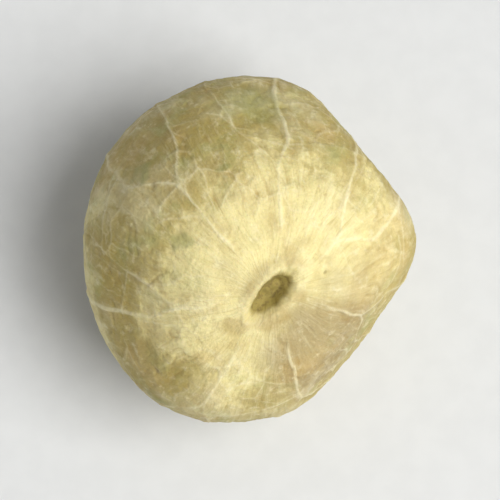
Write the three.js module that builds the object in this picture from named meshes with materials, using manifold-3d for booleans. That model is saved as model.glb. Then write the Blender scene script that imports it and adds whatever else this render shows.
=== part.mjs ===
// White peppercorn: one dried pepper fruit without its dark outer skin, lying on a small flat spot.
// Millimetres, +Z up. The origin is on the surface that the grain rests on, under the middle of its box.
//
// The grain is one closed surface around a middle point. Its radius is worked out for every direction:
// a rounded body, pressed flat in places, with a stalk scar at one pole, a small point at the other,
// and thin raised veins that run from pole to pole and are joined here and there by cross veins.

import * as THREE from 'three';
import { mergeVertices } from 'three/addons/utils/BufferGeometryUtils.js';
import Module from 'manifold-3d';

// Size of the grain, in millimetres
const GRAIN_WIDTH = 4.66;
const GRAIN_LENGTH = 4.5;
const REST_REACH = 2.19;
const MEAN_RADIUS = (GRAIN_WIDTH + GRAIN_LENGTH) / 4;

// How it lies. A bearing turns from +X towards +Y, and a rise is measured up from level, in degrees
const SCAR_BEARING = -69;
const SCAR_RISE = 62;
const SCAR_LONG_BEARING = 50;

// Where it was pressed flat while it grew: each flat's bearing, rise and distance from the middle
const FLATS = [
  { bearing: 38, rise: 3, reach: 2.06 },
  { bearing: -38, rise: 4, reach: 1.96 },
  { bearing: 178, rise: -8, reach: 2.2 },
  { bearing: -148, rise: 34, reach: 2.19 },
  { bearing: 78, rise: 42, reach: 2.22 },
];
const FLAT_EDGE_SHARPNESS = 27;

// Broad swells: bearing, rise, height in millimetres and breadth in degrees
const SWELLS = [
  { bearing: 100, rise: 10, height: 0.1, breadth: 34 },
  { bearing: -108, rise: 4, height: 0.13, breadth: 30 },
  { bearing: 2, rise: 6, height: 0.06, breadth: 18 },
];

// Stalk scar: an oval pit with a low rim, in a slightly flattened end. The pit's wall and the rim are
// placed in pit radii, so that 1 is on the oval outline of the pit
const PIT_LENGTH = 0.84;
const PIT_WIDTH = 0.38;
const PIT_DEPTH = 0.22;
const PIT_WALL = { inner: 0.45, outer: 1.15 };
const RIM = { place: 1.45, halfWidth: 0.4, height: 0.035 };
const SCAR_FLATTENING = 0.055;
const SCAR_FLATTENED_RADIUS = 1.0;

// Tip: what is left of the flower's stigma
const TIP_HEIGHT = 0.09;
const TIP_RADIUS = 0.23;

// Long veins. Their ends and forks are placed by the angle from the middle of the scar, in radians, and
// their sway is counted in vein spacings
const VEINS = 14;
const VEIN_HEIGHT = 0.028;
const VEIN_HALF_WIDTH = 0.17;
const VEIN_STRENGTH = { least: 0.65, spread: 0.5 };
const VEIN_RISES = { from: 0.22, to: 0.5 };
const VEIN_SINKS = { from: 2.9, to: 3.1 };
const VEIN_SWAY = { size: 0.12, turns: 3.1 };
const FORK_START = { least: 0.45, spread: 0.7 };
const FORK_REACH = 0.34;
const VEIN_SPACING = (2 * Math.PI) / VEINS;

// Cross veins, each from one long vein to the next
const CROSS_VEINS = 20;
const CROSS_VEIN_HEIGHT = 0.02;
const CROSS_VEIN_HALF_WIDTH = 0.13;
const CROSS_VEIN_START = { least: 0.75, spread: 1.6 };
const CROSS_VEIN_CLIMB = { least: -0.3, spread: 0.6 };

// Waves by which all veins drift sideways: size as an angle, waves round the grain, how far they twist
// on the way down it, and where they start
const DRIFTS = [
  { size: 0.1, round: 2, twist: 1.3, start: 0.7 },
  { size: 0.05, round: 5, twist: -2.1, start: 2 },
];

// Slow unevenness of the dried surface
const UNEVEN_HEIGHT = 0.012;
const UNEVEN_WAVES = 7;
const UNEVEN_TURNS = 5;

// Repeatable draws: where each feature's draws start, and the wave that scatters them
const FIRST_DRAW = {
  sway: 0,
  fork: 20,
  strength: 40,
  crossVein: 60,
  crossStart: 80,
  crossClimb: 100,
  waveBearing: 200,
  waveRise: 220,
  waveStart: 240,
};
const DRAW_WAVE = { turn: 12.9898, start: 4.1414, scatter: 43758.5453 };

// How finely the surface is divided
const COLUMNS_PER_VEIN = 6;
const ROWS = 44;
const ROW_CROWDING = 0.35;

// A repeatable draw between 0 and 1 for each whole number
function draw(number) {
  const scattered = Math.sin(number * DRAW_WAVE.turn + DRAW_WAVE.start) * DRAW_WAVE.scatter;
  return scattered - Math.floor(scattered);
}

// A draw from a range that is given by its least value and its spread
function drawFrom(range, number) {
  return range.least + range.spread * draw(number);
}

// 0 below start, 1 above end, and a smooth rise between them
function ease(start, end, value) {
  return THREE.MathUtils.smoothstep(value, start, end);
}

// 1 at the middle of a mound and close to 0 at twice its half width
function mound(distance, halfWidth) {
  return Math.exp(-((distance / halfWidth) ** 2));
}

// The unit vector with a bearing and a rise
function towards(bearing, rise) {
  const around = THREE.MathUtils.degToRad(bearing);
  const up = THREE.MathUtils.degToRad(rise);
  return new THREE.Vector3(
    Math.cos(up) * Math.cos(around),
    Math.cos(up) * Math.sin(around),
    Math.sin(up),
  );
}

// The grain's own axes: y points out of the stalk scar, and x lies along the scar's longer side
function grainAxes() {
  const scar = towards(SCAR_BEARING, SCAR_RISE);
  const long = towards(SCAR_LONG_BEARING, 0).projectOnPlane(scar).normalize();
  const across = new THREE.Vector3().crossVectors(long, scar);
  return new THREE.Matrix4().makeBasis(long, scar, across);
}

// The rounded body without scar, tip or veins. Each flat is a plane at its reach from the middle, and
// the body and the planes are joined by a sum of high powers, which leaves the edges between them round
function bodyRadius(direction, polar) {
  const across = Math.sin(polar) / (GRAIN_WIDTH / 2);
  const along = Math.cos(polar) / (GRAIN_LENGTH / 2);
  let sum = Math.hypot(across, along) ** FLAT_EDGE_SHARPNESS;
  for (const flat of FLATS) {
    const facing = Math.max(0, direction.dot(towards(flat.bearing, flat.rise)));
    sum += (facing / flat.reach) ** FLAT_EDGE_SHARPNESS;
  }
  return sum ** (-1 / FLAT_EDGE_SHARPNESS);
}

// The height of the broad swells
function swellHeight(direction) {
  let height = 0;
  for (const swell of SWELLS) {
    const away = direction.angleTo(towards(swell.bearing, swell.rise));
    height += swell.height * mound(away, THREE.MathUtils.degToRad(swell.breadth));
  }
  return height;
}

// Slow waves in several directions, added up
function unevenHeight(direction) {
  let height = 0;
  for (let wave = 0; wave < UNEVEN_WAVES; wave += 1) {
    const bearing = 360 * draw(wave + FIRST_DRAW.waveBearing);
    const rise = 180 * draw(wave + FIRST_DRAW.waveRise) - 90;
    const start = 2 * Math.PI * draw(wave + FIRST_DRAW.waveStart);
    height += Math.sin(UNEVEN_TURNS * direction.dot(towards(bearing, rise)) + start);
  }
  return UNEVEN_HEIGHT * height;
}

// The pit of the stalk scar, its rim and the flattened end around it
function scarHeight(polar, around) {
  if (polar > Math.PI / 2) {
    return 0;
  }
  const distance = MEAN_RADIUS * Math.sin(polar);
  const alongPit = (distance * Math.cos(around)) / (PIT_LENGTH / 2);
  const acrossPit = (distance * Math.sin(around)) / (PIT_WIDTH / 2);
  const fromPit = Math.hypot(alongPit, acrossPit);
  const pit = -PIT_DEPTH * (1 - ease(PIT_WALL.inner, PIT_WALL.outer, fromPit));
  const rim = RIM.height * mound(fromPit - RIM.place, RIM.halfWidth);
  const flattened = -SCAR_FLATTENING * mound(distance, SCAR_FLATTENED_RADIUS);
  return pit + rim + flattened;
}

// The small point at the other pole
function tipHeight(polar) {
  if (polar < Math.PI / 2) {
    return 0;
  }
  return TIP_HEIGHT * mound(MEAN_RADIUS * Math.sin(polar), TIP_RADIUS);
}

// How far the veins drift sideways, as an angle about the grain's axis
function veinDrift(polar, around) {
  let drift = 0;
  for (const wave of DRIFTS) {
    drift += wave.size * Math.sin(wave.round * around + wave.twist * polar + wave.start);
  }
  return Math.sin(polar) * drift;
}

// Where a vein runs, counted in veins. Veins leave the scar in pairs and fork on the way
function veinPlace(vein, polar) {
  const swayStart = 2 * Math.PI * draw(vein + FIRST_DRAW.sway);
  const sway = VEIN_SWAY.size * Math.sin(VEIN_SWAY.turns * polar + swayStart);
  const pair = Math.floor(vein / 2);
  const forkStart = drawFrom(FORK_START, pair + FIRST_DRAW.fork);
  const together = 1 - ease(forkStart, forkStart + FORK_REACH, polar);
  const towardsPartner = vein % 2 === 0 ? 0.5 : -0.5;
  return vein + sway * (1 - together) + towardsPartner * together;
}

// The shortest way round from one vein place to another, with its sign
function veinStep(from, to) {
  const step = to - from;
  return step - VEINS * Math.round(step / VEINS);
}

// The height of the long veins at a place
function longVeinHeight(place, polar, spacing) {
  const risen = ease(VEIN_RISES.from, VEIN_RISES.to, polar);
  const sunk = ease(VEIN_SINKS.from, VEIN_SINKS.to, polar);
  let height = 0;
  for (let vein = 0; vein < VEINS; vein += 1) {
    const distance = spacing * veinStep(veinPlace(vein, polar), place);
    const strength = drawFrom(VEIN_STRENGTH, vein + FIRST_DRAW.strength);
    height = Math.max(height, strength * mound(distance, VEIN_HALF_WIDTH));
  }
  return VEIN_HEIGHT * risen * (1 - sunk) * height;
}

// The height of the cross veins, each a straight line from one vein to the next
function crossVeinHeight(place, polar, spacing) {
  let height = 0;
  for (let number = 0; number < CROSS_VEINS; number += 1) {
    const vein = Math.floor(VEINS * draw(number + FIRST_DRAW.crossVein));
    const startPolar = drawFrom(CROSS_VEIN_START, number + FIRST_DRAW.crossStart);
    const climb = MEAN_RADIUS * drawFrom(CROSS_VEIN_CLIMB, number + FIRST_DRAW.crossClimb);
    const start = veinPlace(vein, startPolar);
    const width = spacing * veinStep(start, veinPlace(vein + 1, startPolar));
    const right = spacing * veinStep(start, place);
    const up = MEAN_RADIUS * (polar - startPolar);
    const share = (right * width + up * climb) / (width ** 2 + climb ** 2);
    const along = THREE.MathUtils.clamp(share, 0, 1);
    const distance = Math.hypot(right - along * width, up - along * climb);
    height = Math.max(height, mound(distance, CROSS_VEIN_HALF_WIDTH));
  }
  return CROSS_VEIN_HEIGHT * height;
}

// Distance of the surface from the middle of the grain, in one direction
function grainRadius(direction, axes) {
  const own = direction.clone().applyMatrix4(axes.clone().transpose());
  const polar = Math.acos(THREE.MathUtils.clamp(own.y, -1, 1));
  const around = Math.atan2(own.z, own.x);
  const place = (around + veinDrift(polar, around)) / VEIN_SPACING;
  const spacing = MEAN_RADIUS * Math.sin(polar) * VEIN_SPACING;
  const veins = Math.max(
    longVeinHeight(place, polar, spacing),
    crossVeinHeight(place, polar, spacing),
  );
  return (
    bodyRadius(direction, polar) +
    swellHeight(direction) +
    unevenHeight(direction) +
    scarHeight(polar, around) +
    tipHeight(polar) +
    veins
  );
}

// A unit ball turned about the y axis, with its rows closer together at both poles and its columns
// drifting sideways as the veins do
function dividedBall() {
  const profile = [];
  for (let row = 0; row <= ROWS; row += 1) {
    const even = (2 * Math.PI * row) / ROWS;
    const polar = (even - ROW_CROWDING * Math.sin(even)) / 2;
    profile.push(new THREE.Vector2(Math.sin(polar), -Math.cos(polar)));
  }
  const ball = new THREE.LatheGeometry(profile, VEINS * COLUMNS_PER_VEIN);
  const position = ball.getAttribute('position');
  const point = new THREE.Vector3();
  const pole = new THREE.Vector3(0, 1, 0);
  for (let corner = 0; corner < position.count; corner += 1) {
    point.fromBufferAttribute(position, corner);
    const polar = point.angleTo(pole);
    const drift = veinDrift(polar, Math.atan2(point.z, point.x));
    point.applyAxisAngle(pole, drift);
    position.setXYZ(corner, point.x, point.y, point.z);
  }
  return ball;
}

// Merges the shared corners and drops the triangles that have no area at the poles
function closed(geometry) {
  geometry.deleteAttribute('normal');
  geometry.deleteAttribute('uv');
  const merged = mergeVertices(geometry);
  const corners = merged.getIndex().array;
  const kept = [];
  for (let first = 0; first < corners.length; first += 3) {
    const [a, b, c] = corners.slice(first, first + 3);
    if (a !== b && b !== c && c !== a) {
      kept.push(a, b, c);
    }
  }
  merged.setIndex(kept);
  return merged;
}

// The whole grain around its middle, before it gets its rest spot
function roundGrain() {
  const axes = grainAxes();
  const surface = closed(dividedBall());
  const position = surface.getAttribute('position');
  const direction = new THREE.Vector3();
  for (let corner = 0; corner < position.count; corner += 1) {
    direction.fromBufferAttribute(position, corner).applyMatrix4(axes).normalize();
    direction.multiplyScalar(grainRadius(direction, axes));
    position.setXYZ(corner, direction.x, direction.y, direction.z);
  }
  return surface;
}

// A closed mesh as a solid that can be cut
function solid(wasm, geometry) {
  return new wasm.Manifold(
    new wasm.Mesh({
      numProp: 3,
      vertProperties: new Float32Array(geometry.getAttribute('position').array),
      triVerts: new Uint32Array(geometry.getIndex().array),
    }),
  );
}

// A solid as a mesh again
function meshOf(cut) {
  const mesh = cut.getMesh();
  const geometry = new THREE.BufferGeometry();
  geometry.setAttribute('position', new THREE.BufferAttribute(mesh.vertProperties, 3));
  geometry.setIndex(new THREE.BufferAttribute(mesh.triVerts, 1));
  return geometry;
}

// The grain with a small flat spot under its weight, standing on the origin
async function restingGrain() {
  const wasm = await Module();
  wasm.setup();
  const below = new THREE.BoxGeometry(2 * GRAIN_WIDTH, 2 * GRAIN_WIDTH, GRAIN_WIDTH);
  below.translate(0, 0, -REST_REACH - GRAIN_WIDTH / 2);
  const rested = solid(wasm, roundGrain()).subtract(solid(wasm, closed(below)));
  const geometry = meshOf(rested);
  geometry.computeBoundingBox();
  const middle = geometry.boundingBox.getCenter(new THREE.Vector3());
  geometry.translate(-middle.x, -middle.y, REST_REACH);
  geometry.computeVertexNormals();
  return geometry;
}

const paleSkin = new THREE.MeshStandardMaterial({ color: 0xd8c894, roughness: 0.8, metalness: 0 });
const peppercorn = new THREE.Mesh(await restingGrain(), paleSkin);
peppercorn.name = 'peppercorn';

const grain = new THREE.Group();
grain.add(peppercorn);

export default grain;
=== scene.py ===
import bpy
import numpy as np
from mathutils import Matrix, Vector


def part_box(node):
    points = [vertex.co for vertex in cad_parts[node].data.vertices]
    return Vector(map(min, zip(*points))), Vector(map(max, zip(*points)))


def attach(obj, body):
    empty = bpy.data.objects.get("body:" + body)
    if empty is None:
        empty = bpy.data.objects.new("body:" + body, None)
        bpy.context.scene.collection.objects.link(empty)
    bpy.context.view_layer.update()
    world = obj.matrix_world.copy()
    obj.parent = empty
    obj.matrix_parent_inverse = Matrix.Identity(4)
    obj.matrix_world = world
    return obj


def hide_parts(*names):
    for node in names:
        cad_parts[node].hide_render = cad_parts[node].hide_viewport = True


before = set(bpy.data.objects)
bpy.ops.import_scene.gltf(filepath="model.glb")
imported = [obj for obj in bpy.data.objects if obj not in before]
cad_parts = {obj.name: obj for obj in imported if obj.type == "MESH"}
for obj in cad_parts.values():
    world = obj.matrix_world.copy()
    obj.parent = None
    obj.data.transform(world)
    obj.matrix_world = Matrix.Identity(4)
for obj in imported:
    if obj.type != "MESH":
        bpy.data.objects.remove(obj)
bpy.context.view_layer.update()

MM = 0.001
FULL_TURN = 2 * np.pi

# Size of the grain and the height of its middle above the floor, in millimetres
GRAIN_WIDTH = 4.66
GRAIN_LENGTH = 4.5
REST_REACH = 2.19
MEAN_RADIUS = (GRAIN_WIDTH + GRAIN_LENGTH) / 4

# How it lies. A bearing turns from +X towards +Y, and a rise is measured up from level, in degrees
SCAR_BEARING = -69
SCAR_RISE = 62
SCAR_LONG_BEARING = 50

# Where it was pressed flat while it grew: bearing, rise and distance from the middle in millimetres. How
# sharp the edges of the flats are, as a power
FLATS = (
    (38, 3, 2.06),
    (-38, 4, 1.96),
    (178, -8, 2.2),
    (-148, 34, 2.19),
    (78, 42, 2.22),
)
FLAT_EDGE_SHARPNESS = 27

# Broad swells: bearing, rise, height in millimetres and breadth in degrees
SWELLS = (
    (100, 10, 0.1, 34),
    (-108, 4, 0.13, 30),
    (2, 6, 0.06, 18),
)

# Stalk scar, in millimetres. The pit's wall and the rim are placed in pit radii: 1 is on the pit's oval
# outline, and BEYOND_PIT is anywhere on the other half of the grain
PIT_LENGTH = 0.84
PIT_WIDTH = 0.38
PIT_DEPTH = 0.22
PIT_WALL = (0.45, 1.15)
RIM_PLACE, RIM_HALF_WIDTH, RIM_HEIGHT = 1.45, 0.4, 0.035
SCAR_FLATTENING = 0.055
SCAR_FLATTENED_RADIUS = 1.0
BEYOND_PIT = 99

# Tip, in millimetres
TIP_HEIGHT = 0.09
TIP_RADIUS = 0.23

# Long veins. Their ends and forks are placed by the angle from the middle of the scar, in radians, and
# their sway is counted in vein spacings. Ranges to draw from are given by their least value and spread
VEINS = 14
VEIN_SPACING = FULL_TURN / VEINS
VEIN_STRENGTH = (0.65, 0.5)
VEIN_RISES = (0.22, 0.5)
VEIN_SINKS = (2.9, 3.1)
VEIN_SWAY, VEIN_SWAY_TURNS = 0.12, 3.1
FORK_START = (0.45, 0.7)
FORK_REACH = 0.34

# Cross veins, each from one long vein to the next
CROSS_VEINS = 20
CROSS_VEIN_START = (0.75, 1.6)
CROSS_VEIN_CLIMB = (-0.3, 0.6)

# Waves by which all veins drift sideways: size as an angle, waves round the grain, how far they twist on
# the way down it, and where they start
DRIFTS = (
    (0.1, 2, 1.3, 0.7),
    (0.05, 5, -2.1, 2),
)

# Slow unevenness of the dried surface: height in millimetres, how many waves are added up, and how tight
# they are
UNEVEN_HEIGHT = 0.012
UNEVEN_WAVES = 7
UNEVEN_TURNS = 5

# Repeatable draws: where each feature's draws start, and the wave that scatters them
SWAY_DRAW, FORK_DRAW, STRENGTH_DRAW = 0, 20, 40
CROSS_VEIN_DRAW, CROSS_START_DRAW, CROSS_CLIMB_DRAW = 60, 80, 100
WAVE_BEARING_DRAW, WAVE_RISE_DRAW, WAVE_START_DRAW = 200, 220, 240
DRAW_TURN, DRAW_START, DRAW_SCATTER = 12.9898, 4.1414, 43758.5453

# How finely each of the six grids that make up the surface is divided, how far the grids are drawn
# towards the scar, and by how many digits corners on their shared edges are matched
GRID_CELLS = 127
GRID_PULL = 0.22
GRID_DIGITS = 7

# Noise: how many random slopes it draws from, and how much it is raised to lie mostly between -1 and 1.
# Each NOISE below holds the size of its patches in millimetres, its seed and its layers. Each PLACES
# holds two values and a noise, and a mark grows from none to whole as the noise rises between the values
NOISE_SLOPES = 256
NOISE_GAIN = 1.6

# Veins of the skin, in millimetres: the low foot and the sharper crest of each, and how far they wander
# sideways. How strong the faintest stretches are, where the strong ones are, and how strong cross veins
# are
FOOT_HEIGHT, FOOT_HALF_WIDTH = 0.007, 0.12
CREST_HEIGHT, CREST_HALF_WIDTH = 0.016, 0.034
BROAD_WANDER, BROAD_WANDER_NOISE = 0.06, (0.8, 10, 1)
FINE_WANDER, FINE_WANDER_NOISE = 0.03, (0.3, 11, 1)
FAINT_STRENGTH, STRONG_PLACES = 0.6, (-0.5, 0.5, (0.5, 12, 1))
CROSS_VEIN_STRENGTH = 0.6

# Near the ends of the grain, veins count as at least this far apart when they are bent, in millimetres
LEAST_SPACING = 0.3

# Net of finer veins: height and half width of its walls and length of a row of cells, in millimetres.
# How many columns of cells there are to a vein, how many rows are drawn, how far a cell's point keeps
# from its edges, and the seed of that draw. How far the net curls across in millimetres and down in
# radians, and where it is seen
NET_HEIGHT, NET_HALF_WIDTH, NET_ROW = 0.008, 0.028, 0.62
NET_COLUMNS_TO_VEIN, NET_ROWS, NET_MARGIN, NET_SEED = 2, 64, 0.12, 15
NET_CURL_ACROSS, NET_ACROSS_NOISE = 0.08, (0.3, 13, 1)
NET_CURL_DOWN, NET_DOWN_NOISE = 0.035, (0.3, 14, 1)
NET_PLACES = (-0.45, 0.35, (0.75, 16, 1))

# Angles from the scar in radians between which the net and the wrinkles begin and end, and between which
# the crests and the net get wider, and how much wider they get
NET_RISES, NET_SINKS = (0.25, 0.6), (2.6, 2.9)
WIDENING, WIDENS = 0.5, (1.7, 2.6)

# Patterns that follow the veins: how much shorter the way along a vein counts than the way across it, and
# how far they are bent sideways, in millimetres
FLOW_SQUEEZE = 0.25
FLOW_BEND, FLOW_NOISE = 0.07, (0.8, 30, 2)

# Lumps and roughness all over the skin: their height in millimetres
LUMP_HEIGHT, LUMP_NOISE = 0.032, (0.9, 50, 1)
ROUGH_HEIGHT, ROUGH_NOISE = 0.012, (0.26, 51, 4)

# Wrinkles along the veins and creases in any direction, both where a noise is near zero: their depth in
# millimetres, how near to zero the noise is, and where they are deepest
WRINKLE_DEPTH, WRINKLE_HALF_WIDTH, WRINKLE_NOISE = 0.009, 0.09, (0.3, 20, 3)
WRINKLE_PLACES = (-0.5, 0.3, (0.6, 56, 1))
CREASE_DEPTH, CREASE_HALF_WIDTH, CREASE_NOISE = 0.014, 0.06, (0.55, 57, 2)
CREASE_PLACES = (-0.1, 0.4, (0.8, 59, 1))

# Strewn marks: their depth or height in millimetres, how many there are, their least and largest radius
# in millimetres and their seed. How weak a mark may be, and how far its outline is bent and how large
# the patches of that noise are, as shares of the marks' mean size
DENT_DEPTH, DENTS = 0.024, (60, (0.12, 0.4), 45)
PORE_DEPTH, PORES = 0.03, (30, (0.03, 0.06), 25)
CRUMB_HEIGHT, CRUMBS = 0.01, (170, (0.025, 0.05), 35)
WEAKEST_MARK, MARK_BEND, MARK_BEND_PATCHES = 0.4, 0.5, 2.5

# Skin in and around the scar. Heights are in millimetres, and places, half widths and how ragged the
# pit's outline is in pit radii
PIT_RAGGED, PIT_NOISE = 0.13, (0.2, 17, 3)
PIT_EDGE = (0.7, 1.1)
TORN_HEIGHT, TORN_NOISE = 0.045, (0.16, 61, 3)
LIP_HEIGHT, LIP_PLACE, LIP_HALF_WIDTH = 0.022, 1.25, 0.14
LIP_PLACES = (-0.6, 0.3, (0.12, 21, 1))
COLLAR_PLACE, COLLAR_HALF_WIDTH = 1.5, 0.45
STAIN_PLACE, STAIN_HALF_WIDTH = 1.7, 0.7
STAIN_PLACES = (-0.5, 0.4, (0.3, 27, 1))

# Ribs that run out over the scar's collar and from the tip: how many, and their height in millimetres.
# How far the scar's ribs are bent, as an angle of their waves, and how far out the tip's mark reaches
SCAR_RIBS, SCAR_RIB_HEIGHT = 19, 0.006
SCAR_RIB_BEND, SCAR_RIB_NOISE = 2.5, (0.3, 60, 1)
TIP_RIBS, TIP_RIB_HEIGHT = 3, 0.012
TIP_MARK_RADIUS = 0.22

# Clean patches, where a thin film of the outer skin is gone, and the blush beside the scar: bearing, rise and
# breadth in degrees. They are partly painted light and shade. The second clean patch and the noise's seed put
# cream on the lower left and khaki on the top and left, as seen from the camera, and the blush is darkened as
# painted shade at the lower right. How far their edges are bent and how far out they end, in breadths. The
# patches further off follow a noise: its middle value, its swing, and the angles from the scar in radians
# between which they begin. The film's height in millimetres, and how clean the skin is along its edge
CLEAN_AND_LIT_PATCHES = ((-52, 60, 45), (-126, 46, 17))
CLEAN_NOISE = (0.7, 19, 4)
BLUSH_AND_SHADE_PATCH = (-52, 29, 25)
BLUSH_NOISE = (0.7, 29, 4)
PATCH_BEND, PATCH_END = 0.28, 1.5
FAR_MIDDLE, FAR_SWING, FAR_NOISE = 0.25, 0.8, (1.5, 1007, 5)
FAR_RISES = (1.0, 1.5)
FILM_HEIGHT, FILM_EDGE = 0.007, (0.46, 0.54)

# Green flecks: bearing, rise and size in millimetres. The first, large fleck over the top of the grain as
# seen from the camera is partly painted shade. How far their outlines are bent, and the size of the patches
# of that noise, both in millimetres, and its seed
GREEN_FLECKS_AND_SHADE = (
    # Green tint and painted shade over the top of the grain
    (86, 38, 0.5),
    (-160, 67, 0.13),
    (153, 48, 0.16),
    (110, 70, 0.1),
    (-120, 5, 0.15),
    (60, -20, 0.14),
    (-20, -35, 0.16),
)
FLECK_BEND, FLECK_NOISE = 0.14, (0.18, 70)

# Relief that the colours and the painted shade in the hollows count as 1, in millimetres
RELIEF_SHOWN = 0.025

# Floor: how far it is flat and the radius of its edge, in millimetres, and how finely it is divided
FLOOR_RADIUS, FLOOR_CURVE = 80, 45
FLOOR_CELLS = 60

# Window light: bearing and rise, distance and size in millimetres, power in watts, and colour
WINDOW_BEARING, WINDOW_RISE = -25, 58
WINDOW_DISTANCE, WINDOW_SIZE = 150, 95
WINDOW_POWER = 0.245
WINDOW_COLOUR = (1.0, 0.985, 0.95)

# Room light: how bright it is at the horizon and overhead, and its colour
ROOM_LIGHT = (0.08, 0.33)
ROOM_COLOUR = (0.97, 0.97, 0.97, 1)

# Camera: bearing and rise, its lens and the width that it shows at the grain's middle, in millimetres,
# and the nearest and farthest that it sees, in metres
CAMERA_BEARING, CAMERA_RISE = -90, 80
LENS, SHOWN_WIDTH = 200, 7.0
NEAREST, FARTHEST = 0.0005, 10


def draw(number):
    """A repeatable draw between 0 and 1 for each whole number."""
    scattered = np.sin(number * DRAW_TURN + DRAW_START) * DRAW_SCATTER
    return scattered - np.floor(scattered)


def draw_from(least, spread, number):
    """A draw from a range that is given by its least value and its spread."""
    return least + spread * draw(number)


def ease(start, end, value):
    """0 below start, 1 above end, and a smooth rise between them."""
    share = np.clip((value - start) / (end - start), 0, 1)
    return share * share * (3 - 2 * share)


def mound(distance, half_width):
    """1 at the middle of a mound and close to 0 at twice its half width."""
    return np.exp(-((distance / half_width) ** 2))


def towards(bearing, rise):
    """The unit vector with a bearing and a rise."""
    around, up = np.radians(bearing), np.radians(rise)
    return np.array([np.cos(up) * np.cos(around), np.cos(up) * np.sin(around), np.sin(up)])


def angle_from(direction, bearing, rise):
    """The angle in radians between each direction and the one with a bearing and a rise."""
    return np.arccos(np.clip(direction @ towards(bearing, rise), -1, 1))


def grain_axes():
    """The grain's own axes as rows: along the scar's longer side, out of the scar, and across both."""
    scar = towards(SCAR_BEARING, SCAR_RISE)
    long = towards(SCAR_LONG_BEARING, 0)
    long = long - scar * (long @ scar)
    long /= np.linalg.norm(long)
    return np.array([long, scar, np.cross(long, scar)])


def body_radius(direction, polar):
    """The rounded body without scar, tip or veins. Each flat is a plane at its reach from the middle,
    and the body and the planes are joined by a sum of high powers, which leaves the edges round."""
    across = np.sin(polar) / (GRAIN_WIDTH / 2)
    along = np.cos(polar) / (GRAIN_LENGTH / 2)
    total = np.hypot(across, along) ** FLAT_EDGE_SHARPNESS
    for bearing, rise, reach in FLATS:
        facing = np.maximum(0, direction @ towards(bearing, rise))
        total += (facing / reach) ** FLAT_EDGE_SHARPNESS
    return total ** (-1 / FLAT_EDGE_SHARPNESS)


def swell_height(direction):
    """The broad swells, each a mound of height by the angle from its middle."""
    return sum(
        top * mound(angle_from(direction, bearing, rise), np.radians(breadth))
        for bearing, rise, top, breadth in SWELLS
    )


def uneven_height(direction):
    """Slow sine waves added up, each by how far a direction points along the wave's own direction."""
    height = 0
    for wave in range(UNEVEN_WAVES):
        bearing = 360 * draw(wave + WAVE_BEARING_DRAW)
        rise = 180 * draw(wave + WAVE_RISE_DRAW) - 90
        start = FULL_TURN * draw(wave + WAVE_START_DRAW)
        height = height + np.sin(UNEVEN_TURNS * (direction @ towards(bearing, rise)) + start)
    return UNEVEN_HEIGHT * height


def from_pit(polar, around):
    """Distance from the scar's middle in pit radii: the length of the ways along and across the pit's
    oval, each divided by half the oval's size that way."""
    distance = MEAN_RADIUS * np.sin(polar)
    along = distance * np.cos(around) / (PIT_LENGTH / 2)
    across = distance * np.sin(around) / (PIT_WIDTH / 2)
    return np.where(polar < np.pi / 2, np.hypot(along, across), BEYOND_PIT)


def scar_height(polar, away):
    """The stalk scar: a pit that eases down over its wall, a ring-shaped mound as its rim, and a broad
    mound taken away, which flattens the end around it."""
    pit = -PIT_DEPTH * (1 - ease(*PIT_WALL, away))
    rim = RIM_HEIGHT * mound(away - RIM_PLACE, RIM_HALF_WIDTH)
    flattened = -SCAR_FLATTENING * mound(MEAN_RADIUS * np.sin(polar), SCAR_FLATTENED_RADIUS)
    return np.where(polar < np.pi / 2, pit + rim + flattened, 0)


def tip_height(polar):
    """The small point at the pole away from the scar: a mound by the distance from the grain's axis."""
    height = TIP_HEIGHT * mound(MEAN_RADIUS * np.sin(polar), TIP_RADIUS)
    return np.where(polar > np.pi / 2, height, 0)


def vein_drift(polar, around):
    """How far the veins drift sideways, as an angle about the grain's axis: sine waves round the grain
    that twist on the way down it, and fade towards both ends by the sine of the angle from the scar."""
    waves = [size * np.sin(turns * around + twist * polar + start) for size, turns, twist, start in DRIFTS]
    return np.sin(polar) * sum(waves)


def vein_place(vein, polar):
    """Where a vein runs, counted in veins. It sways by a sine wave. At the scar it lies half a step
    towards its partner, and it eases away from there where the pair forks."""
    sway = VEIN_SWAY * np.sin(VEIN_SWAY_TURNS * polar + FULL_TURN * draw(vein + SWAY_DRAW))
    fork_start = draw_from(*FORK_START, vein // 2 + FORK_DRAW)
    together = 1 - ease(fork_start, fork_start + FORK_REACH, polar)
    towards_partner = 0.5 if vein % 2 == 0 else -0.5
    return vein + sway * (1 - together) + towards_partner * together


def vein_step(start, end):
    """The shortest way round from one vein place to another, with its sign."""
    step = end - start
    return step - VEINS * np.round(step / VEINS)


def long_veins(place, polar, spacing, half_width):
    """How much each point belongs to a long vein, from 0 to about 1: the largest mound by the sideways
    distance to a vein, faded out at the scar and at the tip."""
    shown = ease(*VEIN_RISES, polar) * (1 - ease(*VEIN_SINKS, polar))
    height = 0
    for vein in range(VEINS):
        distance = spacing * vein_step(vein_place(vein, polar), place)
        strength = draw_from(*VEIN_STRENGTH, vein + STRENGTH_DRAW)
        height = np.maximum(height, strength * mound(distance, half_width))
    return shown * height


def cross_veins(place, polar, spacing, half_width):
    """How much each point belongs to a cross vein: the largest mound by the distance to a straight line
    from one long vein to the next. The nearest point of the line is found by its share along it."""
    height = 0
    for number in range(CROSS_VEINS):
        vein = int(VEINS * draw(number + CROSS_VEIN_DRAW))
        start_polar = draw_from(*CROSS_VEIN_START, number + CROSS_START_DRAW)
        climb = MEAN_RADIUS * draw_from(*CROSS_VEIN_CLIMB, number + CROSS_CLIMB_DRAW)
        start = vein_place(vein, start_polar)
        width = spacing * vein_step(start, vein_place(vein + 1, start_polar))
        right = spacing * vein_step(start, place)
        up = MEAN_RADIUS * (polar - start_polar)
        along = np.clip((right * width + up * climb) / (width**2 + climb**2), 0, 1)
        distance = np.hypot(right - along * width, up - along * climb)
        height = np.maximum(height, mound(distance, half_width))
    return height


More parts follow.
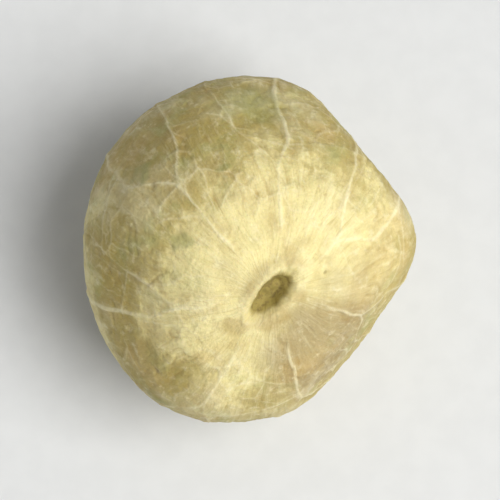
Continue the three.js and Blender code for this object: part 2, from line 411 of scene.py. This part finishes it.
def smooth_noise(points, cell, seed):
    """Smooth random heights, mostly between -1 and 1. Space is cut into cubes with sides of cell, every
    cube corner gets a random slope, and a point takes its eight corners' slopes, eased between them by
    6 t^5 - 15 t^4 + 10 t^3."""
    random = np.random.default_rng(seed)
    order = random.permutation(NOISE_SLOPES)
    slopes = random.normal(size=(NOISE_SLOPES, 3))
    slopes /= np.linalg.norm(slopes, axis=1, keepdims=True)
    place = points / cell
    corner = np.floor(place).astype(int)
    inside = place - corner
    eased = inside**3 * (inside * (inside * 6 - 15) + 10)
    total = 0
    for offset in np.ndindex(2, 2, 2):
        x, y, z = ((corner + offset) % NOISE_SLOPES).T
        slope = slopes[order[(order[(order[x] + y) % NOISE_SLOPES] + z) % NOISE_SLOPES]]
        share = np.prod(np.where(np.array(offset) == 1, eased, 1 - eased), axis=1)
        total = total + share * np.sum(slope * (inside - offset), axis=1)
    return NOISE_GAIN * total


def layered_noise(points, cell, seed, layers):
    """Smooth noise in layers, each with half the cell and half the height of the one before."""
    total = 0
    for layer in range(layers):
        total = total + smooth_noise(points, cell / 2**layer, seed + layer) / 2**layer
    return total


def in_places(skin, low, high, noise):
    """0 where the noise is under low, 1 where it is over high, and smooth between."""
    return ease(low, high, layered_noise(skin, *noise))


def noise_shift(points, cell, seed):
    """A smooth random shift in three directions, each mostly between -1 and 1."""
    return np.stack([smooth_noise(points, cell, seed + axis) for axis in range(3)], axis=1)


def to_wall(ways):
    """Distance to the nearest wall between cells, from the ways to the cells' points around each corner. A
    wall stands halfway between the nearest point and another, square to the line between them. The
    distance to it is the difference of their squared distances over twice how far they are apart."""
    squared = np.sum(ways**2, axis=2)
    rows = np.arange(len(ways))
    own = np.argmin(squared, axis=1)
    apart = np.linalg.norm(ways - ways[rows, own][:, None], axis=2)
    apart[rows, own] = 1
    halfway = (squared - squared[rows, own][:, None]) / (2 * apart)
    halfway[rows, own] = np.inf
    return halfway.min(axis=1)


def net_walls(place, polar, spacing):
    """Distance in millimetres to the nearest wall of a net of cells that lies along the veins. There are
    NET_COLUMNS_TO_VEIN columns to a vein and a row every NET_ROW, with one point strewn in each cell. The
    points looked at are those up to two columns to each side and one row up and down."""
    columns = NET_COLUMNS_TO_VEIN * VEINS
    random = np.random.default_rng(NET_SEED)
    strewn = random.uniform(NET_MARGIN, 1 - NET_MARGIN, (columns, NET_ROWS, 2))
    across = NET_COLUMNS_TO_VEIN * place
    down = MEAN_RADIUS * polar / NET_ROW
    column, row = np.floor(across).astype(int), np.floor(down).astype(int)
    ways = []
    for side in range(-2, 3):
        for step in range(-1, 2):
            shift = strewn[(column + side) % columns, (row + step) % NET_ROWS]
            right = (column + side + shift[:, 0] - across) * spacing / NET_COLUMNS_TO_VEIN
            up = (row + step + shift[:, 1] - down) * NET_ROW
            ways.append(np.stack([right, up], axis=1))
    return to_wall(np.stack(ways, axis=1))


def strewn_marks(skin, count, sizes, seed):
    """Marks strewn at random over the grain: the largest mound by the distance to a mark's place. Noise
    bends the places on the skin first, so that the marks' outlines aren't round."""
    random = np.random.default_rng(seed)
    places = random.normal(size=(count, 3))
    places *= MEAN_RADIUS / np.linalg.norm(places, axis=1, keepdims=True)
    radii = random.uniform(*sizes, count)
    strengths = random.uniform(WEAKEST_MARK, 1, count)
    mean_size = sum(sizes) / 2
    bent = skin + MARK_BEND * mean_size * noise_shift(skin, MARK_BEND_PATCHES * mean_size, seed + 1)
    height = np.zeros(len(skin))
    for place, radius, strength in zip(places, radii, strengths):
        away = np.linalg.norm(bent - place, axis=1)
        height = np.maximum(height, strength * mound(away, radius))
    return height


def grid_faces(cells):
    """The four-cornered faces of a square grid whose corners are counted row by row."""
    number = np.arange((cells + 1) ** 2).reshape(cells + 1, cells + 1)
    face = np.stack([number[:-1, :-1], number[1:, :-1], number[1:, 1:], number[:-1, 1:]], axis=-1)
    return face.reshape(-1, 4)


def ball_grid(cells):
    """Unit directions and four-cornered faces of a ball made of six square grids, one to each side of a
    cube. The lines of a grid lie at the tangents of evenly spaced angles, its corners are drawn onto the
    ball, and grids share the corners along their edges."""
    line = np.tan(np.linspace(-np.pi / 4, np.pi / 4, cells + 1))
    right, up = np.meshgrid(line, line, indexing="ij")
    out = np.ones_like(right)
    sides = (
        (out, right, up),
        (-out, -right, up),
        (-right, out, up),
        (right, -out, up),
        (-up, right, out),
        (up, right, -out),
    )
    points = np.concatenate([np.stack(side, axis=-1).reshape(-1, 3) for side in sides])
    points /= np.linalg.norm(points, axis=1, keepdims=True)
    faces = np.concatenate([grid_faces(cells) + side * (cells + 1) ** 2 for side in range(6)])
    rounded = np.round(points * 10**GRID_DIGITS).astype(np.int64)
    _, first, shared = np.unique(rounded, axis=0, return_index=True, return_inverse=True)
    return points[first], shared.reshape(-1)[faces]


def ragged_patch(direction, bearing, rise, breadth, noise):
    """Over 0.5 within the breadth of a patch and less outside it, with a ragged edge: PATCH_END less the
    angle from the patch's middle, which is counted in breadths and bent by a noise."""
    rough = layered_noise(direction * MEAN_RADIUS, *noise)
    away = angle_from(direction, bearing, rise) / np.radians(breadth) + PATCH_BEND * rough
    return np.clip(PATCH_END - away, 0, 1)


def green_flecks_and_shade(skin):
    """The few green flecks, the largest of which is also painted shade over the top of the grain as seen from
    the camera: each is a mound around its place, with an outline bent by noise.
    """
    bent = skin + FLECK_BEND * noise_shift(skin, *FLECK_NOISE)
    places = [(MEAN_RADIUS * towards(bearing, rise), size) for bearing, rise, size in GREEN_FLECKS_AND_SHADE]
    return np.max([mound(np.linalg.norm(bent - place, axis=1), size) for place, size in places], axis=0)


def flow_places(skin, polar, place, spacing):
    """Places in millimetres for patterns that follow the veins. The vein place, bent by noise, is turned
    round a circle as large as the grain, and the angle from the scar is squeezed and used as height."""
    bend = FLOW_BEND * layered_noise(skin, *FLOW_NOISE) / np.maximum(spacing, LEAST_SPACING)
    turned = (place + bend) * VEIN_SPACING
    return MEAN_RADIUS * np.stack([np.cos(turned), np.sin(turned), FLOW_SQUEEZE * polar], axis=1)


def vein_marks(skin, polar, place, spacing, wider):
    """Veins that wander sideways by noise, each a narrow crest on a broad low foot. The painted shade along
    the foot is four times the foot times what the foot lacks to 1, so it is 1 halfway up the foot. It colours
    the skin and doesn't raise or lower it."""
    wander = BROAD_WANDER * layered_noise(skin, *BROAD_WANDER_NOISE)
    wander += FINE_WANDER * layered_noise(skin, *FINE_WANDER_NOISE)
    wandering = place + wander / np.maximum(spacing, LEAST_SPACING)
    strength = FAINT_STRENGTH + (1 - FAINT_STRENGTH) * in_places(skin, *STRONG_PLACES)
    foot = long_veins(wandering, polar, spacing, FOOT_HALF_WIDTH)
    crest = long_veins(wandering, polar, spacing, CREST_HALF_WIDTH * wider)
    branch = cross_veins(wandering, polar, spacing, CREST_HALF_WIDTH * wider)
    return {
        "foot": foot,
        # Painted shade along the foot of each vein: colour only, no relief
        "vein_foot_shade": 4 * foot * (1 - np.minimum(foot, 1)) * strength,
        "vein": np.maximum(crest, CROSS_VEIN_STRENGTH * branch) * strength,
    }


def net_mark(skin, polar, place, spacing, wider):
    """The net of finer veins: a mound along each wall between cells, which noise makes curl."""
    curl = NET_CURL_ACROSS * layered_noise(skin, *NET_ACROSS_NOISE)
    curled = place + curl / np.maximum(spacing, LEAST_SPACING)
    curled_polar = polar + NET_CURL_DOWN * layered_noise(skin, *NET_DOWN_NOISE)
    walls = mound(net_walls(curled, curled_polar, spacing), NET_HALF_WIDTH * wider)
    return walls * in_places(skin, *NET_PLACES)


def scar_marks(skin, away):
    """The pit, and mounds in rings around it by the distance from the scar's middle in pit radii: the
    collar, and the torn lip and the stain, which come and go."""
    return {
        "pit": 1 - ease(*PIT_EDGE, away),
        "collar": mound(away - COLLAR_PLACE, COLLAR_HALF_WIDTH),
        "lip": mound(away - LIP_PLACE, LIP_HALF_WIDTH) * in_places(skin, *LIP_PLACES),
        "stain": mound(away - STAIN_PLACE, STAIN_HALF_WIDTH) * in_places(skin, *STAIN_PLACES),
    }


def clean_and_lit_mark(direction, polar):
    """Where the skin is clean, which also paints light and shade: on the patches near the scar and, further
    off, where a noise is high.
    """
    noise = layered_noise(direction * MEAN_RADIUS, *FAR_NOISE)
    far = np.clip(FAR_MIDDLE + FAR_SWING * noise, 0, 1) * ease(*FAR_RISES, polar)
    near = [ragged_patch(direction, *patch, CLEAN_NOISE) for patch in CLEAN_AND_LIT_PATCHES]
    return np.max([far, *near], axis=0)


def skin_marks(direction, polar, away, place, spacing, flow):
    """What the relief and the colours follow, each from 0 to about 1 at every corner."""
    skin = direction * MEAN_RADIUS
    shown = ease(*NET_RISES, polar) * (1 - ease(*NET_SINKS, polar))
    wider = 1 + WIDENING * ease(*WIDENS, polar)
    clean_and_lit = clean_and_lit_mark(direction, polar)
    tip = mound(MEAN_RADIUS * np.sin(polar), TIP_MARK_RADIUS)
    return {
        **vein_marks(skin, polar, place, spacing, wider),
        **scar_marks(skin, away),
        "net": net_mark(skin, polar, place, spacing, wider) * shown,
        "wrinkle": mound(layered_noise(flow, *WRINKLE_NOISE), WRINKLE_HALF_WIDTH) * shown,
        "pore": strewn_marks(skin, *PORES),
        "crumb": strewn_marks(skin, *CRUMBS),
        "dent": strewn_marks(skin, *DENTS),
        "tip": np.where(polar > np.pi / 2, tip, 0),
        # The clean patches and the blush are partly painted light and shade
        "clean_and_lit": clean_and_lit,
        "film": 1 - ease(*FILM_EDGE, clean_and_lit),
        "blush_and_shade": ragged_patch(direction, *BLUSH_AND_SHADE_PATCH, BLUSH_NOISE),
        # The largest fleck is partly painted shade
        "fleck_and_shade": green_flecks_and_shade(skin),
    }


def skin_relief(skin, around, marks):
    """The relief of the dried skin in millimetres: veins on low feet, a net of finer veins, wrinkles
    along the veins, creases, dents, pores, crumbs and ribs over lumps and a layered roughness. In the pit
    it gives way to a torn floor."""
    height = LUMP_HEIGHT * layered_noise(skin, *LUMP_NOISE)
    height += ROUGH_HEIGHT * layered_noise(skin, *ROUGH_NOISE)
    height += FOOT_HEIGHT * marks["foot"] + CREST_HEIGHT * marks["vein"] + NET_HEIGHT * marks["net"]
    height -= WRINKLE_DEPTH * marks["wrinkle"] * in_places(skin, *WRINKLE_PLACES)
    creases = mound(layered_noise(skin, *CREASE_NOISE), CREASE_HALF_WIDTH) * in_places(skin, *CREASE_PLACES)
    height -= CREASE_DEPTH * creases + DENT_DEPTH * marks["dent"] + PORE_DEPTH * marks["pore"]
    height += CRUMB_HEIGHT * marks["crumb"] + LIP_HEIGHT * marks["lip"] + FILM_HEIGHT * marks["film"]
    scar_ribs = np.sin(SCAR_RIBS * around + SCAR_RIB_BEND * layered_noise(skin, *SCAR_RIB_NOISE))
    height += SCAR_RIB_HEIGHT * scar_ribs * marks["collar"]
    height += TIP_RIB_HEIGHT * np.sin(TIP_RIBS * around) * marks["tip"]
    torn_floor = TORN_HEIGHT * layered_noise(skin, *TORN_NOISE)
    return height * (1 - marks["pit"]) + torn_floor * marks["pit"]


def grain_surface():
    """Corners in millimetres, faces and named marks of the grain's skin, around its middle. The grid is
    drawn towards the scar: the angle from the scar is less than in an even grid by GRID_PULL times its
    sine. Each corner then lies in its own direction from the middle, as far out as form and relief say."""
    own, faces = ball_grid(GRID_CELLS)
    around = np.arctan2(own[:, 2], own[:, 0])
    even = np.arccos(np.clip(own[:, 1], -1, 1))
    polar = even - GRID_PULL * np.sin(even)
    flat = np.sin(polar)
    own = np.stack([flat * np.cos(around), np.cos(polar), flat * np.sin(around)], axis=1)
    direction = own @ grain_axes()
    skin = direction * MEAN_RADIUS

    place = (around + vein_drift(polar, around)) / VEIN_SPACING
    spacing = MEAN_RADIUS * flat * VEIN_SPACING
    flow = flow_places(skin, polar, place, spacing)
    away = from_pit(polar, around) + PIT_RAGGED * layered_noise(skin, *PIT_NOISE)
    marks = skin_marks(direction, polar, away, place, spacing, flow)

    form = body_radius(direction, polar) + swell_height(direction) + uneven_height(direction)
    form += scar_height(polar, away) + tip_height(polar)
    relief = skin_relief(skin, around, marks)
    marks["relief"] = relief / RELIEF_SHOWN
    marks["flow"] = flow * MM
    return direction * (form + relief)[:, None], faces, marks


def new_piece(name, corners, faces, marks, material):
    """A smooth-shaded mesh object, with each mark as a value at every corner."""
    mesh = bpy.data.meshes.new(name)
    mesh.vertices.add(len(corners))
    mesh.vertices.foreach_set("co", corners.astype(np.float32).ravel())
    mesh.loops.add(faces.size)
    mesh.loops.foreach_set("vertex_index", faces.astype(np.int32).ravel())
    mesh.polygons.add(len(faces))
    mesh.polygons.foreach_set("loop_start", np.arange(0, faces.size, 4, dtype=np.int32))
    mesh.polygons.foreach_set("use_smooth", np.ones(len(faces), dtype=bool))
    for mark, value in marks.items():
        kind, field = ("FLOAT_VECTOR", "vector") if value.ndim == 2 else ("FLOAT", "value")
        attribute = mesh.attributes.new(mark, kind, "POINT")
        attribute.data.foreach_set(field, value.astype(np.float32).ravel())
    mesh.update()
    mesh.validate()
    mesh.materials.append(material)
    piece = bpy.data.objects.new(name, mesh)
    bpy.context.collection.objects.link(piece)
    return piece


def linear(red, green, blue):
    """A colour read from a screen, 0 to 255, as the linear colour that a shader takes, by the standard
    curve of screens: a straight stretch for the darkest tones and a power for the rest."""
    screen = np.array([red, green, blue]) / 255
    light = np.where(screen < 0.04045, screen / 12.92, ((screen + 0.055) / 1.055) ** 2.4)
    return (*light.tolist(), 1.0)


# Colours of the skin
CREAM = linear(249, 237, 174)
# Khaki, made darker and warmer so that it also serves as painted shade
KHAKI = linear(178, 160, 91)
GREY_GREEN = linear(172, 174, 108)
GREEN = linear(146, 150, 84)
TAN = linear(216, 186, 124)
# Blush, darkened so that it also serves as painted shade at the lower right
BLUSH_AND_SHADE = linear(152, 131, 92)
CHALK = linear(248, 240, 200)
# Ochre is the colour of the stain and the tip, and also painted shade in the hollows, the wrinkles and along
# the foot of each vein
OCHRE = linear(170, 140, 72)
# Brown is the colour of the pit's specks, and also painted shade in the pores
BROWN = linear(104, 82, 40)
OLIVE_BROWN = linear(164, 146, 72)

# Factors on the colour of the skin in its darkest and palest specks
DARK_SPECK, PALE_SPECK = (0.84, 0.84, 0.82, 1), (1.12, 1.12, 1.14, 1)

# How much fine noise frays the edges of the clean patches
FRAYING = 0.5

# How rough the skin is at its smoothest and how much rougher it gets, its finest relief in millimetres,
# and the share of that relief that fibres have beside grit
LEAST_ROUGHNESS, ROUGHNESS_SPREAD = 0.48, 0.25
FINE_RELIEF, FIBRE_SHARE = 0.024, 0.7

# Colours of the floor and its roughness
FLOOR_GREY, FLOOR_PALE = linear(215, 217, 219), linear(218, 220, 222)
FLOOR_ROUGHNESS = 0.7


class Paint:
    """Builds one material. Most of its functions add a node and give back the socket that it feeds
    from, so that it can be used as the value of another."""

    def __init__(self, name):
        self.material = bpy.data.materials.new(name)
        self.material.use_nodes = True
        self.tree = self.material.node_tree
        self.shader = self.tree.nodes["Principled BSDF"]
        self.place = self.tree.nodes.new("ShaderNodeTexCoord").outputs["Object"]

    def link(self, source, socket):
        """Feeds a socket from another, or sets it to a number or a colour."""
        if isinstance(source, (int, float, tuple)):
            socket.default_value = source
        else:
            self.tree.links.new(source, socket)

    def shade(self, **sources):
        """Feeds or sets the shader's own sockets, each named in lower case with _ between its words."""
        for name, source in sources.items():
            socket = next(s for s in self.shader.inputs if s.name.lower().replace(" ", "_") == name)
            self.link(source, socket)

    def noise(self, cell, detail=2.0, roughness=0.5, shift=0.0, place=None):
        """Noise from 0 to 1 with patches about one cell wide, in millimetres. It is moved sideways by a
        shift, so that patterns don't line up, and follows the object unless it is given another place."""
        move = self.tree.nodes.new("ShaderNodeMapping")
        move.inputs["Location"].default_value = (shift * MM, shift * MM, 0)
        self.link(place or self.place, move.inputs["Vector"])
        node = self.tree.nodes.new("ShaderNodeTexNoise")
        self.link(move.outputs["Vector"], node.inputs["Vector"])
        node.inputs["Scale"].default_value = 1 / (cell * MM)
        node.inputs["Detail"].default_value = detail
        node.inputs["Roughness"].default_value = roughness
        return node.outputs["Fac"]

    def mark(self, name, output="Fac"):
        """A value stored at the mesh's corners."""
        node = self.tree.nodes.new("ShaderNodeAttribute")
        node.attribute_name = name
        return node.outputs[output]

    def between(self, value, start, end, top=1.0):
        """0 on the start's side of a value, top on the end's side, and smooth between them."""
        node = self.tree.nodes.new("ShaderNodeMapRange")
        node.interpolation_type = "SMOOTHSTEP"
        self.link(value, node.inputs["Value"])
        node.inputs["From Min"].default_value = start
        node.inputs["From Max"].default_value = end
        node.inputs["To Max"].default_value = top
        return node.outputs["Result"]

    def math(self, operation, first, second):
        """A sum, product or like of two values."""
        node = self.tree.nodes.new("ShaderNodeMath")
        node.operation = operation
        self.link(first, node.inputs[0])
        self.link(second, node.inputs[1])
        return node.outputs[0]

    def mix(self, share, under, over, way="MIX"):
        """Colour over on colour under, by a share from 0 to 1."""
        node = self.tree.nodes.new("ShaderNodeMix")
        node.data_type = "RGBA"
        node.blend_type = way
        self.link(share, node.inputs["Factor"])
        for name, colour in (("A", under), ("B", over)):
            self.link(colour, next(s for s in node.inputs if s.name == name and s.type == "RGBA"))
        return next(s for s in node.outputs if s.type == "RGBA")

    def layer(self, under, over, value, start, end, top, within=None):
        """Colour over on colour under: none of it on the start's side of a value, and a share of top on
        the end's side. Where within is given, the share is multiplied by it."""
        share = self.between(value, start, end, top)
        if within is not None:
            share = self.math("MULTIPLY", share, within)
        return self.mix(share, under, over)

    def bump(self, height, distance):
        """Fine relief: height from 0 to 1 stands for a distance in millimetres."""
        node = self.tree.nodes.new("ShaderNodeBump")
        node.inputs["Distance"].default_value = distance * MM
        self.link(height, node.inputs["Height"])
        return node.outputs["Normal"]


def mottled_colour(paint):
    """Khaki, with cream on the clean patches and a blush beside the scar, mottled with grey-green, tan, blush
    and chalk. The patches are partly the skin's own colour and partly painted light and shade: cream where
    the grain is lit, khaki as painted shade on its top and left as seen from the camera, and the blush
    darkened as painted shade at the lower right. The grey-green and the tan fade out where the skin is clean."""
    frayed = paint.noise(cell=0.16, detail=5, roughness=0.65, shift=5)
    fraying = paint.math("SUBTRACT", paint.math("MULTIPLY", frayed, FRAYING), FRAYING / 2)
    clean_and_lit = paint.math("ADD", paint.mark("clean_and_lit"), fraying)
    # Cream on the clean patches, partly painted light; the khaki left around them is partly painted shade
    colour = paint.layer(KHAKI, CREAM, clean_and_lit, start=0.1, end=0.9, top=0.7)
    colour = paint.layer(colour, CREAM, clean_and_lit, start=0.45, end=0.55, top=0.35)
    # Blush and painted shade: the darker patch at the lower right
    colour = paint.layer(colour, BLUSH_AND_SHADE, paint.mark("blush_and_shade"), start=0.1, end=0.9, top=0.75)

    outside = paint.between(clean_and_lit, start=1.0, end=0.3)
    mottles = paint.noise(cell=0.5, detail=4, roughness=0.6, shift=20)
    colour = paint.layer(colour, GREY_GREEN, mottles, start=0.48, end=0.68, top=0.5, within=outside)
    outside = paint.between(clean_and_lit, start=1.4, end=0.3)
    mottles = paint.noise(cell=0.95, detail=3, shift=40)
    colour = paint.layer(colour, TAN, mottles, start=0.53, end=0.7, top=0.4, within=outside)
    mottles = paint.noise(cell=1.3, detail=3, shift=70)
    colour = paint.layer(colour, BLUSH_AND_SHADE, mottles, start=0.55, end=0.72, top=0.3)
    mottles = paint.noise(cell=0.14, detail=4, roughness=0.6, shift=60)
    return paint.layer(colour, CHALK, mottles, start=0.52, end=0.74, top=0.38)


def relief_colour_and_shade(paint, colour, fibres):
    """Chalk on the high spots, the veins, the net and the fibres, and ochre between the fibres. Painted
    shade: ochre in the hollows, darker the deeper they lie, along the foot of each vein and in the wrinkles,
    and brown in the pores."""
    # Painted shade: ochre in the hollows, deeper hollows darker
    depth = paint.math("MULTIPLY", paint.mark("relief"), -1.0)
    colour = paint.layer(colour, OCHRE, depth, start=0.2, end=2.0, top=0.6)
    colour = paint.layer(colour, CHALK, paint.mark("relief"), start=0.1, end=1.4, top=0.3)
    broken = paint.noise(cell=0.2, detail=3, roughness=0.6, shift=130)
    broken_up = paint.between(broken, start=0.35, end=0.65, top=0.4)
    # Painted shade: ochre along the foot of each vein, broken up by noise
    colour = paint.mix(paint.math("MULTIPLY", paint.mark("vein_foot_shade"), broken_up), colour, OCHRE)
    colour = paint.layer(colour, CHALK, paint.mark("vein"), start=0.25, end=0.8, top=0.42)
    colour = paint.layer(colour, CHALK, paint.mark("net"), start=0.4, end=0.9, top=0.2)
    colour = paint.layer(colour, OCHRE, fibres, start=0.5, end=0.28, top=0.22)
    colour = paint.layer(colour, CHALK, fibres, start=0.5, end=0.72, top=0.22)
    # Painted shade: ochre in the wrinkles
    colour = paint.layer(colour, OCHRE, paint.mark("wrinkle"), start=0.4, end=1.0, top=0.2)
    # Painted shade: brown in the pores
    return paint.layer(colour, BROWN, paint.mark("pore"), start=0.35, end=0.9, top=0.4)


def spot_colour(paint, colour):
    """The green flecks, the largest of which is also painted shade, chalk on the scar's collar, ochre in its
    stain and on the tip, and olive brown with brown specks on the floor of the pit."""
    # Green flecks, the largest of them partly painted shade
    colour = paint.layer(colour, GREEN, paint.mark("fleck_and_shade"), start=0.1, end=0.9, top=0.5)
    colour = paint.layer(colour, CHALK, paint.mark("collar"), start=0.3, end=1.0, top=0.15)
    colour = paint.layer(colour, OCHRE, paint.mark("stain"), start=0.1, end=0.9, top=0.45)
    colour = paint.layer(colour, OCHRE, paint.mark("tip"), start=0.3, end=0.9, top=0.6)
    specks = paint.noise(cell=0.07, detail=4, roughness=0.6, shift=150)
    pit_floor = paint.layer(OLIVE_BROWN, BROWN, specks, start=0.55, end=0.35, top=0.6)
    return paint.layer(colour, pit_floor, paint.mark("pit"), start=0.05, end=0.8, top=0.9)


def pepper_skin():
    """Dull cream and khaki skin with fibres along its veins. It has painted shade in its hollows, wrinkles
    and pores and along its veins, and painted light and shade in its cream and khaki patches. Its finest
    relief is grit and fibres, and a little light passes under its surface."""
    paint = Paint("pepper_skin")
    fibres = paint.noise(cell=0.1, detail=5, roughness=0.65, shift=3, place=paint.mark("flow", "Vector"))
    colour = relief_colour_and_shade(paint, mottled_colour(paint), fibres)
    specks = paint.noise(cell=0.035, detail=3, roughness=0.6, shift=110)
    factors = paint.mix(specks, DARK_SPECK, PALE_SPECK)
    colour = paint.mix(1.0, spot_colour(paint, colour), factors, "MULTIPLY")

    dull = paint.noise(cell=0.25, detail=3, shift=80)
    dull = paint.between(dull, start=0.3, end=0.7, top=ROUGHNESS_SPREAD)
    grit = paint.noise(cell=0.07, detail=5, roughness=0.65, shift=100)
    fine = paint.math("ADD", grit, paint.math("MULTIPLY", fibres, FIBRE_SHARE))
    paint.shade(
        base_color=colour,
        roughness=paint.math("ADD", dull, LEAST_ROUGHNESS),
        normal=paint.bump(fine, FINE_RELIEF),
        specular_ior_level=0.4,
        subsurface_weight=0.18,
        subsurface_radius=(1.0, 0.7, 0.35),
        subsurface_scale=0.14 * MM,
    )
    return paint.material


def make_grain():
    """The grain's finished skin, set down where its solid stands: the middle of its box is over the
    middle of the solid's, and what would lie below the floor is flat on it."""
    corners, faces, marks = grain_surface()
    low, high = (np.array(corner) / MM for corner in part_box("peppercorn"))
    middle = (corners.min(axis=0) + corners.max(axis=0)) / 2
    corners[:, :2] += (low + high)[:2] / 2 - middle[:2]
    corners[:, 2] = np.maximum(corners[:, 2] + REST_REACH, 0)
    piece = new_piece("grain_skin", corners * MM, faces, marks, pepper_skin())
    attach(piece, "root")
    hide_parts("peppercorn")
    return piece


def make_floor():
    """A plain pale floor with an edge that curves up all round. A square grid is drawn onto a disc: each
    corner keeps its bearing, and its larger coordinate tells how far out it lies on a profile that runs
    straight out from the middle and on along a quarter of a circle."""
    line = np.linspace(-1, 1, FLOOR_CELLS + 1)
    right, up = np.meshgrid(line, line, indexing="ij")
    bearing = np.arctan2(up, right)
    along = np.maximum(abs(right), abs(up)) * (FLOOR_RADIUS + FLOOR_CURVE * np.pi / 2)
    bend = np.maximum(along - FLOOR_RADIUS, 0) / FLOOR_CURVE
    out = np.minimum(along, FLOOR_RADIUS) + FLOOR_CURVE * np.sin(bend)
    height = FLOOR_CURVE * (1 - np.cos(bend))
    corners = np.stack([out * np.cos(bearing), out * np.sin(bearing), height], axis=-1).reshape(-1, 3)

    paint = Paint("pale_floor")
    colour = paint.layer(FLOOR_GREY, FLOOR_PALE, paint.noise(cell=0.4, detail=3), start=0.3, end=0.7, top=1.0)
    paint.shade(base_color=colour, roughness=FLOOR_ROUGHNESS)
    new_piece("floor", corners * MM, grid_faces(FLOOR_CELLS), {}, paint.material)


def stand_off(name, data, middle, bearing, rise, distance):
    """Puts a lamp or a camera at a bearing, a rise and a distance from a middle, facing it."""
    holder = bpy.data.objects.new(name, data)
    way = Vector(towards(bearing, rise))
    holder.location = (middle + way * distance) * MM
    holder.rotation_euler = way.to_track_quat("Z", "Y").to_euler()
    bpy.context.collection.objects.link(holder)
    return holder


def add_window():
    """A square soft lamp that faces the grain, as a window does."""
    lamp = bpy.data.lights.new("window", "AREA")
    lamp.size = WINDOW_SIZE * MM
    lamp.energy = WINDOW_POWER
    lamp.color = WINDOW_COLOUR
    stand_off("window", lamp, Vector((0, 0, 0)), WINDOW_BEARING, WINDOW_RISE, WINDOW_DISTANCE)


def make_room():
    """A pale room around the grain: dim at the horizon and brighter overhead."""
    world = bpy.data.worlds.new("room")
    world.use_nodes = True
    tree = world.node_tree
    way = tree.nodes.new("ShaderNodeTexCoord").outputs["Generated"]
    parts = tree.nodes.new("ShaderNodeSeparateXYZ")
    tree.links.new(way, parts.inputs[0])
    rise = tree.nodes.new("ShaderNodeMapRange")
    rise.inputs["To Min"].default_value, rise.inputs["To Max"].default_value = ROOM_LIGHT
    tree.links.new(parts.outputs["Z"], rise.inputs["Value"])
    room = tree.nodes["Background"]
    tree.links.new(rise.outputs["Result"], room.inputs["Strength"])
    room.inputs["Color"].default_value = ROOM_COLOUR
    bpy.context.scene.world = world


def make_camera():
    """A long lens at the photograph's viewing angle, close over the grain. How far off it stands follows
    from the lens and the width that it shows."""
    camera = bpy.data.cameras.new("camera")
    camera.lens = LENS
    camera.clip_start = NEAREST
    camera.clip_end = FARTHEST
    distance = SHOWN_WIDTH * LENS / camera.sensor_width
    middle = Vector((0, 0, REST_REACH))
    holder = stand_off("camera", camera, middle, CAMERA_BEARING, CAMERA_RISE, distance)
    bpy.context.scene.camera = holder


make_camera()
make_grain()
make_floor()
add_window()
make_room()
bpy.context.scene.view_settings.view_transform = "Standard"
